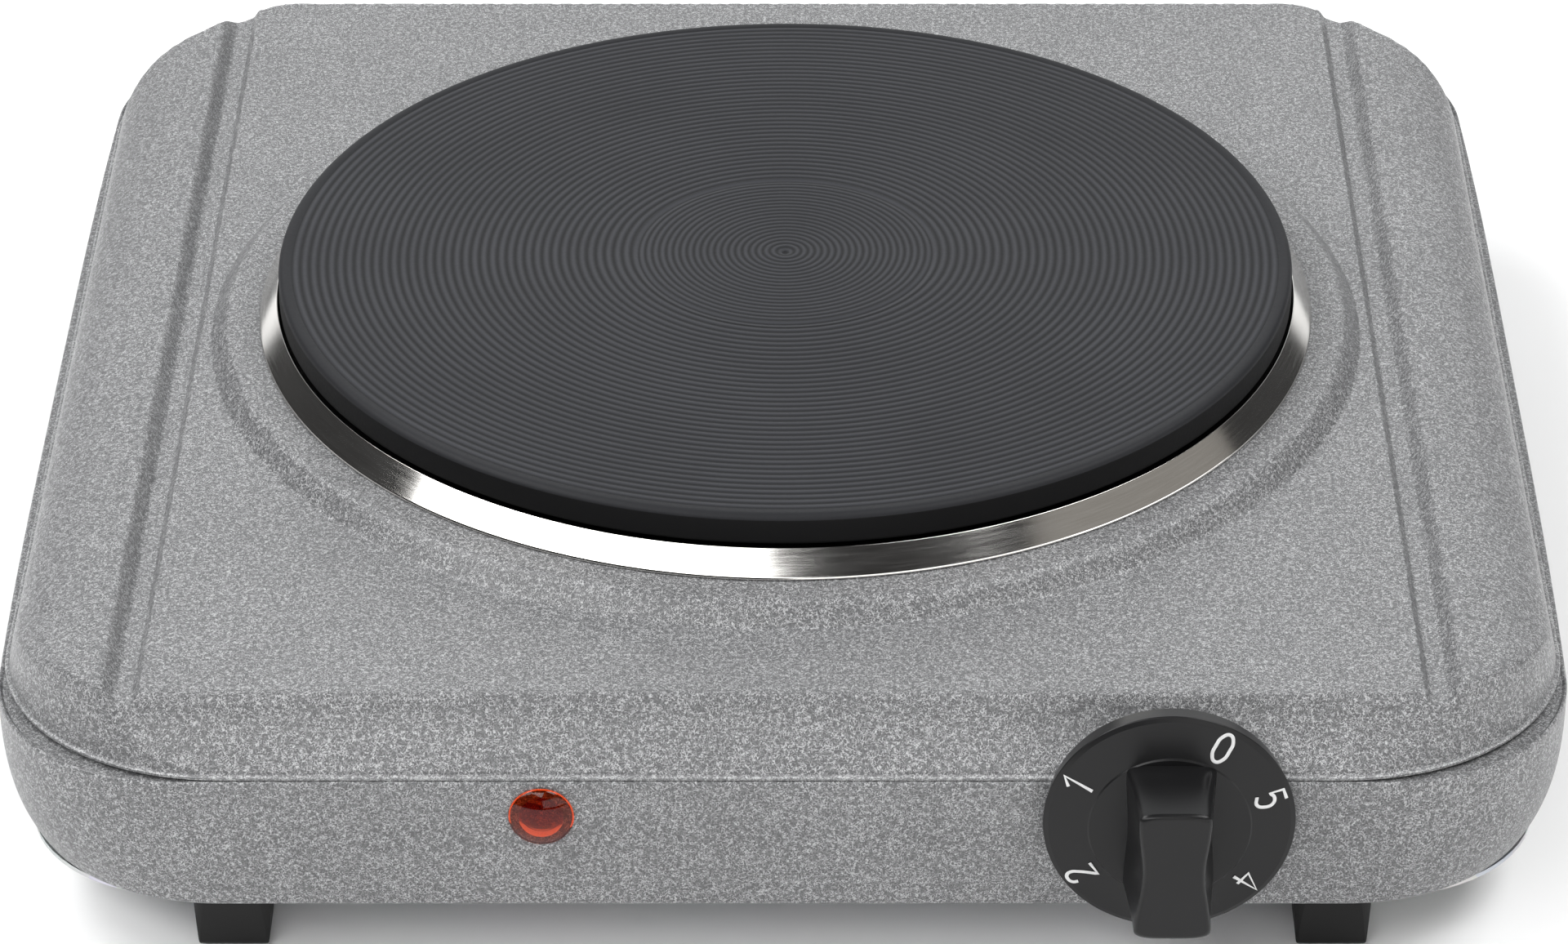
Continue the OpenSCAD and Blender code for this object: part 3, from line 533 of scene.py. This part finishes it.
def top_cover():
    plan, edge_count = cover_plan()
    edge = [(k, (k + 1) % edge_count) for k in range(edge_count)]
    made = delaunay_2d_cdt([Vector(p) for p in plan], edge, [], 1, 1e-4)
    flat = np.array([tuple(p) for p in made[0]])
    x, y = flat[:, 0], flat[:, 1]
    middle = flat[np.array(made[2])].mean(axis=1)
    faces = [f for f, m in zip(made[2], middle) if math.hypot(*m) > OPENING_R - 0.02]
    step = 0.004
    fall_x = (cover_height(x + step, y) - cover_height(x - step, y)) / (2 * step)
    fall_y = (cover_height(x, y + step) - cover_height(x, y - step)) / (2 * step)
    upright = np.column_stack([-fall_x, -fall_y, np.ones(len(x))])
    upright /= np.linalg.norm(upright, axis=1)[:, None]
    skin = np.column_stack([x, y, cover_height(x, y)])

    # rolled hem under the lip, from the lowest ring of the slope round to the inside
    first = skin[:, 2].min()
    hem = rounded([(LIP_INSET, first, 0), (0.0, first - 0.18, 0.05), (0.12, COVER_LOW[2], 0.08),
                   (2.2, COVER_LOW[2], 0)], 4)
    rings = [outline(LIP_X - d, LIP_Y - d, LIP_R - d, CORNER_STEPS, SIDE_STEPS) for d, _ in hem]
    edge_points = [np.column_stack([ring, np.full(len(ring), z)]) for ring, (_, z) in zip(rings, hem)]
    start = len(skin)
    faces += [tuple(start + i for i in reversed(f)) for f in ring_faces(len(hem), edge_count)]
    points = np.vstack([skin] + edge_points) + [AXIS_X, AXIS_Y, 0]
    cover = new_piece("painted_cover", points, faces, MATERIALS["speckled_paint"], "housing",
                      ["top_cover"])
    normals = np.zeros((len(points), 3))
    normals[:start] = upright
    cover.data.normals_split_custom_set_from_vertices(normals.tolist())
    return cover


# ---- lower housing ----

BASE_BULGE = 1.3
BASE_R = 32.3
BASE_MARGIN = 0.04
BASE_TUCK = (3.9, 1.6, 2.4)
BULGE_REACH = 118.0
CORNER_START = 224
CORNER_RUN = 16
CORNER_SINK = 0.6


def bulged(points):
    """Bows the two sides of an outline outwards, most in the middle of their length"""
    x, y = points[:, 0], points[:, 1]
    reach = np.maximum(1 - (y / BULGE_REACH) ** 4, 0) ** 1.5
    moved = np.array(points, float)
    moved[:, 0] += np.sign(x) * BASE_BULGE * reach * smooth_step(np.abs(x), 112.0, 130.0)
    return moved


def base_shell():
    """Painted sides of the lower housing, drawn in below, and a little lower on top at the corners"""
    top = BASE_HIGH[2]
    low = BASE_LOW[2]
    shoulder = rounded([(6.0, top - 0.08, 0), (0.9, top - 0.08, 0.1), (0.0, top - 0.1, 0.6),
                        (0.0, top - 4.0, 0)], 8)
    wall = [(0.0, z) for z in np.linspace(top - 5.5, low + 1.0, 16)]
    hem = rounded([(0.0, low + 1.0, 0), (0.0, low, 0.8), (9.0, low, 0)], 8)[1:]
    rings = []
    for d, z in [*shoulder, *wall, *hem]:
        tuck = ((top - z) / (top - low)) ** 3
        half = BASE_HALF - BASE_MARGIN - d
        ring = outline(half - BASE_BULGE - BASE_TUCK[0] * tuck, half - BASE_TUCK[1] * tuck,
                       BASE_R - d + BASE_TUCK[2] * tuck, 64, 24)
        corner = np.clip((np.abs(ring[:, 0]) + np.abs(ring[:, 1]) - CORNER_START) / CORNER_RUN, 0, 1)
        sunk = CORNER_SINK * smooth_step(corner, 0, 1) * smooth_step(d, 0.3, 0.9) * (z > top - 1)
        rings.append(np.column_stack([ring, z - sunk]))
    count = len(rings[0])
    faces = [tuple(reversed(f)) for f in ring_faces(len(rings), count)]
    points = bulged(np.vstack(rings)) + [AXIS_X, AXIS_Y, 0]
    shell = new_piece("painted_base", points, faces, MATERIALS["speckled_paint"], "housing",
                      ["base_shell"])
    flat_shading(shell)
    return shell


# ---- hot plate and its ring ----

def ridge_line(start, end, turns, depth):
    """Turned ridges between two radii: eight profile points for each turn of the tool"""
    return [(start + (end - start) * k / (turns * 8),
             PLATE_TOP - depth * (0.5 + 0.5 * math.cos(k * math.pi / 4))) for k in range(turns * 8 + 1)]


def hotplate():
    wall_low = RING_HIGH[2] + 0.25
    profile = [(0, PLATE_TOP - 0.5), (0.5, PLATE_TOP - 0.42), (1.1, PLATE_TOP - 0.12)]
    profile += ridge_line(*INNER_TURNS, 0.10)
    profile += [(MARK_R + 1.1 * t, PLATE_TOP - 0.22 * math.cos(t * math.pi / 2) ** 2 - 0.06)
                for t in np.linspace(-1, 1, 9)]
    profile += ridge_line(*OUTER_TURNS, 0.14)
    rim = rounded([(PLATE_R - 2.3, PLATE_TOP - 0.06, 0), (PLATE_R, PLATE_TOP - 0.06, 1.2),
                   (PLATE_R, wall_low, 0.6), (PLATE_R - 6, wall_low, 0)], 6)
    profile += [tuple(p) for p in rim]
    profile.append((PLATE_R - 6.2, wall_low - 2.0))
    points, faces = lathe(profile, 360)
    plate = new_piece("turned_plate", points + [AXIS_X, AXIS_Y, 0], faces, MATERIALS["cast_iron"],
                      "housing", ["hotplate"])
    return plate


def trim_ring():
    outer = (RING_HIGH[0] - RING_LOW[0]) / 2
    top = RING_HIGH[2]
    low = RING_LOW[2]
    profile = rounded([(outer - 9.8, top - 1.6, 0), (outer - 4.6, top - 1.6, 0.3), (outer - 3.5, top, 0.12),
                       (outer - 0.25, low + 0.65, 0.5), (outer, low + 0.1, 0.25), (outer - 1.2, low, 0)], 6)
    points, faces = lathe(profile, 360)
    ring = new_piece("polished_ring", points + [AXIS_X, AXIS_Y, 0], faces, MATERIALS["polished_trim"],
                     "housing", ["trim_ring"])
    flat_shading(ring)
    return ring


# ---- knob ----

GRIP_LEVELS = 14
GRIP_TOP_HALF = 6.0
GRIP_LOW_HALF = 6.35
GRIP_REACH = 10.7
GRIP_ARCH = 1.7
SKIRT_DEPTH = 4.0
HUB_RISE = 1.3
HUB_R = 13.4
FACE_EDGE_R = 20.1


def grip_ring(upper, lower, h, waist, arch):
    """Waisted outline of the grip at one level, half as wide as upper at its top and lower below"""
    right = []
    for t in np.linspace(-1, 1, 33):
        w = (upper + lower) / 2 + (upper - lower) / 2 * t
        right.append((w - waist * (1 + math.cos(math.pi * t)) / 2, h * t))
    ends = []
    for w, up in ((upper, 1), (lower, -1)):
        for t in np.linspace(0, 1, 25)[1:-1]:
            bow = math.cos(t * math.pi)
            across = math.copysign(abs(bow) ** 0.5, bow)
            ends.append((up * w * across, up * (h + arch * math.sin(t * math.pi) ** 0.75)))
    left = [(-x, y) for x, y in reversed(right)]
    return np.array(right + ends[:23] + left + ends[23:])


def knob_grip(base_depth, front_depth):
    """Points and faces of the grip, from the face of the dial out to its rounded front"""
    round_r = 0.9
    levels = []
    for t in np.linspace(0, 1, GRIP_LEVELS):
        levels.append((base_depth + t * (front_depth - round_r - base_depth), 0.0))
    for a in np.linspace(15, 90, 6):
        levels.append((front_depth - round_r * (1 - math.sin(math.radians(a))),
                       round_r * (1 - math.cos(math.radians(a)))))
    rings = []
    for depth, shrink in levels:
        t = (depth - base_depth) / (front_depth - base_depth)
        flare = 1.5 * (1 - t) ** 1.6
        upper = GRIP_TOP_HALF + flare - shrink
        lower = GRIP_LOW_HALF + flare * 0.8 - shrink
        ring = grip_ring(upper, lower, GRIP_REACH - shrink, 0.45 + 0.6 * t, GRIP_ARCH)
        rings.append(np.column_stack([ring, np.full(len(ring), depth)]))
    count = len(rings[0])
    faces = ring_faces(len(rings), count)
    last = (len(rings) - 1) * count
    faces.append(tuple(last + k for k in range(count)))
    return np.vstack(rings), faces


def knob_parts():
    """Middle of the knob in x and z, and the distances of its faces in front of its back plane"""
    x = (KNOB_LOW[0] + KNOB_HIGH[0]) / 2
    z = (KNOB_LOW[2] + KNOB_HIGH[2]) / 2
    return x, KNOB_HIGH[1], z, KNOB_HIGH[1] - KNOB_LOW[1]


def knob():
    x, back, z, depth = knob_parts()
    r = (KNOB_HIGH[0] - KNOB_LOW[0]) / 2
    profile = rounded([(5.6, 0.0, 0), (5.6, 2.0, 0.3), (r - 2.0, 2.0, 0.6), (r - 1.9, 0.0, 0.2),
                       (r - 0.7, 0.0, 0.3), (r, SKIRT_DEPTH - 0.4, 0.25), (r - 0.9, SKIRT_DEPTH, 0.35),
                       (HUB_R + 0.25, SKIRT_DEPTH + HUB_RISE - 0.25, 0.2),
                       (HUB_R, SKIRT_DEPTH + HUB_RISE, 0.15), (0.0, SKIRT_DEPTH + HUB_RISE, 0)], 6)
    points, faces = lathe(profile, 180)
    dial = new_piece("dial_skirt", facing_front(points, x, back, z), faces, MATERIALS["black_plastic"],
                     "dial", ["knob"])
    flat_shading(dial)
    points, faces = knob_grip(SKIRT_DEPTH + HUB_RISE - 0.4, depth)
    grip = new_piece("dial_grip", facing_front(points, x, back, z), faces, MATERIALS["black_plastic"],
                     "dial", ["knob"])
    flat_shading(grip)
    return dial, grip


NUMBER_R = 17.4
NUMBER_HEIGHT = 5.9
NUMBER_STROKE = 0.62
# strokes of each number, one unit high about their middle; a point with a third value is a corner
NUMBER_STROKES = {
    "0": [(0, 0.5), (-0.20, 0.32), (-0.24, 0), (-0.20, -0.32), (0, -0.5), (0.20, -0.32), (0.24, 0),
          (0.20, 0.32)],
    "1": [(-0.20, 0.22, 1), (0.06, 0.5, 1), (0.06, -0.5, 1)],
    "2": [(-0.22, 0.26), (-0.16, 0.43), (0.0, 0.5), (0.17, 0.43), (0.21, 0.24), (0.12, 0.04),
          (-0.24, -0.48, 1), (0.25, -0.48, 1)],
    "3": [(-0.20, 0.36), (0, 0.5), (0.19, 0.30), (0.0, 0.06, 1), (0.22, -0.2), (0, -0.5), (-0.22, -0.34)],
    "4": [(0.12, -0.5, 1), (0.12, 0.5, 1), (-0.25, -0.2, 1), (0.27, -0.2, 1)],
    "5": [(0.20, 0.47, 1), (-0.15, 0.47, 1), (-0.19, 0.04, 1), (0.02, 0.12), (0.21, 0.0), (0.22, -0.26),
          (0.05, -0.48), (-0.22, -0.40)],
}


def stroke_curve(text, height, width):
    """Curve along the strokes of one number, with a round brush"""
    curve = bpy.data.curves.new("number_" + text, "CURVE")
    curve.dimensions = "3D"
    curve.bevel_depth = width / 2 * MM
    curve.bevel_resolution = 3
    curve.resolution_u = 8
    curve.use_fill_caps = True
    spline = curve.splines.new("BEZIER")
    strokes = NUMBER_STROKES[text]
    spline.bezier_points.add(len(strokes) - 1)
    spline.use_cyclic_u = text == "0"
    for point, (u, v, *corner) in zip(spline.bezier_points, strokes):
        point.co = Vector((u, v, 0)) * (height - width) * MM
        point.handle_left_type = point.handle_right_type = "VECTOR" if corner else "AUTO"
    return curve


def dial_numbers():
    """Printed numbers on the sloping face of the dial, their tops outwards"""
    x, back, z, _ = knob_parts()
    clock_angles = {"0": 28.4, "5": 72, "4": 130, "3": 183, "2": 236, "1": 297.6}
    face_depth = SKIRT_DEPTH + HUB_RISE * (FACE_EDGE_R - NUMBER_R) / (FACE_EDGE_R - HUB_R)
    lean = math.atan(HUB_RISE / (FACE_EDGE_R - HUB_R))
    for text, clock in clock_angles.items():
        curve = stroke_curve(text, NUMBER_HEIGHT, NUMBER_STROKE)
        number = bpy.data.objects.new("number_" + text, curve)
        bpy.context.scene.collection.objects.link(number)
        spin = Matrix.Rotation(-math.radians(clock), 4, "Z")
        tilt = Matrix.Translation((0, NUMBER_R * MM, face_depth * MM)) @ Matrix.Rotation(-lean, 4, "X")
        stand = Matrix.Translation(Vector((x, back, z)) * MM) @ Matrix.Rotation(math.pi / 2, 4, "X")
        number.matrix_world = stand @ spin @ tilt @ Matrix.Diagonal((1, 1, 0.16, 1))
        curve.materials.append(INK)
        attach(number, "dial")


# ---- lamp ----

def lamp_lens():
    """Low clear cap over a dark shallow cup, both inside the lens of the CAD model"""
    x = (LENS_LOW[0] + LENS_HIGH[0]) / 2
    z = (LENS_LOW[2] + LENS_HIGH[2]) / 2
    r = (LENS_HIGH[0] - LENS_LOW[0]) / 2
    wall = BASE_LOW[1]
    dome = wall - LENS_LOW[1]
    rim = 0.5
    ball = (r * r + (dome - rim) ** 2) / (2 * (dome - rim))
    bow = [(s, dome - ball + math.sqrt(ball * ball - s * s)) for s in np.linspace(r, 0, 15)]
    profile = [(0.0, 0.2), (3.5, 0.2), (3.6, -0.6), (4.9, -0.6), (5.0, 0.02), (r - 0.08, 0.02),
               (r, 0.12), *bow]
    points, faces = lathe(profile, 96)
    new_piece("lamp_dome", facing_front(points, x, wall, z), faces,
              MATERIALS["amber_lens"], "housing", ["lamp_lens"])
    cup = rounded([(0.0, -0.1, 0), (3.3, -0.1, 0.1), (3.45, -1.0, 0.1), (4.95, -1.0, 0.1),
                   (4.95, -0.02, 0)], 3)
    points, faces = lathe(cup, 96)
    new_piece("lamp_cup", facing_front(points, x, wall, z), faces,
              LAMP_CUP, "housing", ["lamp_lens"])


# ---- stage, light and camera ----

def studio():
    """Pale floor, a surround that is darker overhead, and soft lights"""
    floor_mesh = bpy.data.meshes.new("floor")
    half = 6.0
    floor_mesh.from_pydata([(-half, -half, -FLOOR_GAP), (half, -half, -FLOOR_GAP), (half, half, -FLOOR_GAP),
                            (-half, half, -FLOOR_GAP)], [], [(0, 1, 2, 3)])
    floor = bpy.data.objects.new("floor", floor_mesh)
    bpy.context.scene.collection.objects.link(floor)
    s = Shader("floor_paper")
    s.principled(Base_Color=s.mix(s.noise(s.where(), 3.0), (0.93, 0.93, 0.93, 1), (0.95, 0.95, 0.95, 1)),
                 Roughness=0.9)
    floor_mesh.materials.append(s.material)
    surround()
    softbox("key", 42, 42, 1.7, 2.5, 0.55, 5.0, (1.0, 1.0, 1.0))
    softbox("warm", -81, 30, 1.7, 1.4, 0.6, 0.28, (1.0, 0.95, 0.88))
    softbox("rear", 180, 36, 1.9, 2.4, 1.4, 1.0, (0.97, 0.99, 1.0))
    softbox("top_right", -78, 60, 2.0, 1.7, 0.9, 5.9, (1.0, 1.0, 1.0))
    softbox("top_left", 102, 56, 2.0, 1.4, 0.7, 7.6, (1.0, 1.0, 1.0))
    softbox("low_front", -32, 13, 1.9, 2.2, 0.6, 1.7, (1.0, 0.99, 0.98))
    softbox("low_right", -80, 8, 1.9, 1.4, 0.35, 2.4, (1.0, 1.0, 1.0))
    bpy.context.scene.view_settings.view_transform = "Standard"


def surround():
    """Surround that is pale behind the object and dark overhead, at the sides and in front"""
    world = bpy.data.worlds.new("surround")
    bpy.context.scene.world = world
    world.use_nodes = True
    tree = world.node_tree
    back = tree.nodes["Background"]
    place = tree.nodes.new("ShaderNodeTexCoord")
    apart = tree.nodes.new("ShaderNodeSeparateXYZ")
    both = tree.nodes.new("ShaderNodeMix")
    both.data_type = "RGBA"
    both.blend_type = "MULTIPLY"
    both.inputs[0].default_value = 1.0
    tree.links.new(place.outputs["Generated"], apart.inputs[0])
    for axis, socket, stops in (("Z", 6, ((0.0, 1.0), (0.6, 0.9), (0.9, 0.3))),
                                ("Y", 7, ((0.0, 0.04), (0.80, 0.06), (0.93, 0.7)))):
        ramp = tree.nodes.new("ShaderNodeValToRGB")
        ramp.color_ramp.elements.new(0.5)
        for element, (at, grey) in zip(ramp.color_ramp.elements, stops):
            element.position = at
            element.color = (grey, grey, grey, 1)
        tree.links.new(apart.outputs[axis], ramp.inputs[0])
        tree.links.new(ramp.outputs["Color"], both.inputs[socket])
    tree.links.new(both.outputs[2], back.inputs["Color"])
    back.inputs["Strength"].default_value = 1.0


def softbox(name, turn, rise, distance, width, height, radiance, tint):
    """Area light, turn degrees left of the front and rise degrees up, aimed at the middle of the plate"""
    light = bpy.data.lights.new(name, "AREA")
    light.shape = "RECTANGLE"
    light.size = width
    light.size_y = height
    light.energy = radiance * width * height * math.pi
    light.color = tint
    lamp = bpy.data.objects.new(name, light)
    lamp.visible_camera = False
    a, e = math.radians(turn), math.radians(rise)
    toward = Vector((-math.sin(a) * math.cos(e), -math.cos(a) * math.cos(e), math.sin(e)))
    lamp.location = toward * distance
    lamp.rotation_euler = (-toward).to_track_quat("-Z", "Y").to_euler()
    bpy.context.scene.collection.objects.link(lamp)


def camera():
    """Long lens, a little above the front edge, looking along +Y and down"""
    data = bpy.data.cameras.new("camera")
    data.sensor_width = 36.0
    data.lens = 138.11
    data.shift_x = -0.0260
    data.clip_end = 50
    eye = bpy.data.objects.new("camera", data)
    bpy.context.scene.collection.objects.link(eye)
    elevation = math.radians(29.094)
    distance = 1100.6
    plate_middle = Vector((AXIS_X, AXIS_Y, PLATE_TOP))
    eye.location = (plate_middle + Vector((7.2, -distance * math.cos(elevation),
                                           distance * math.sin(elevation)))) * MM
    eye.rotation_euler = (math.radians(90 - 31.2), 0, 0)
    bpy.context.scene.camera = eye


finish_cad_nodes()
top_cover()
base_shell()
hotplate()
trim_ring()
knob()
dial_numbers()
lamp_lens()
studio()
camera()
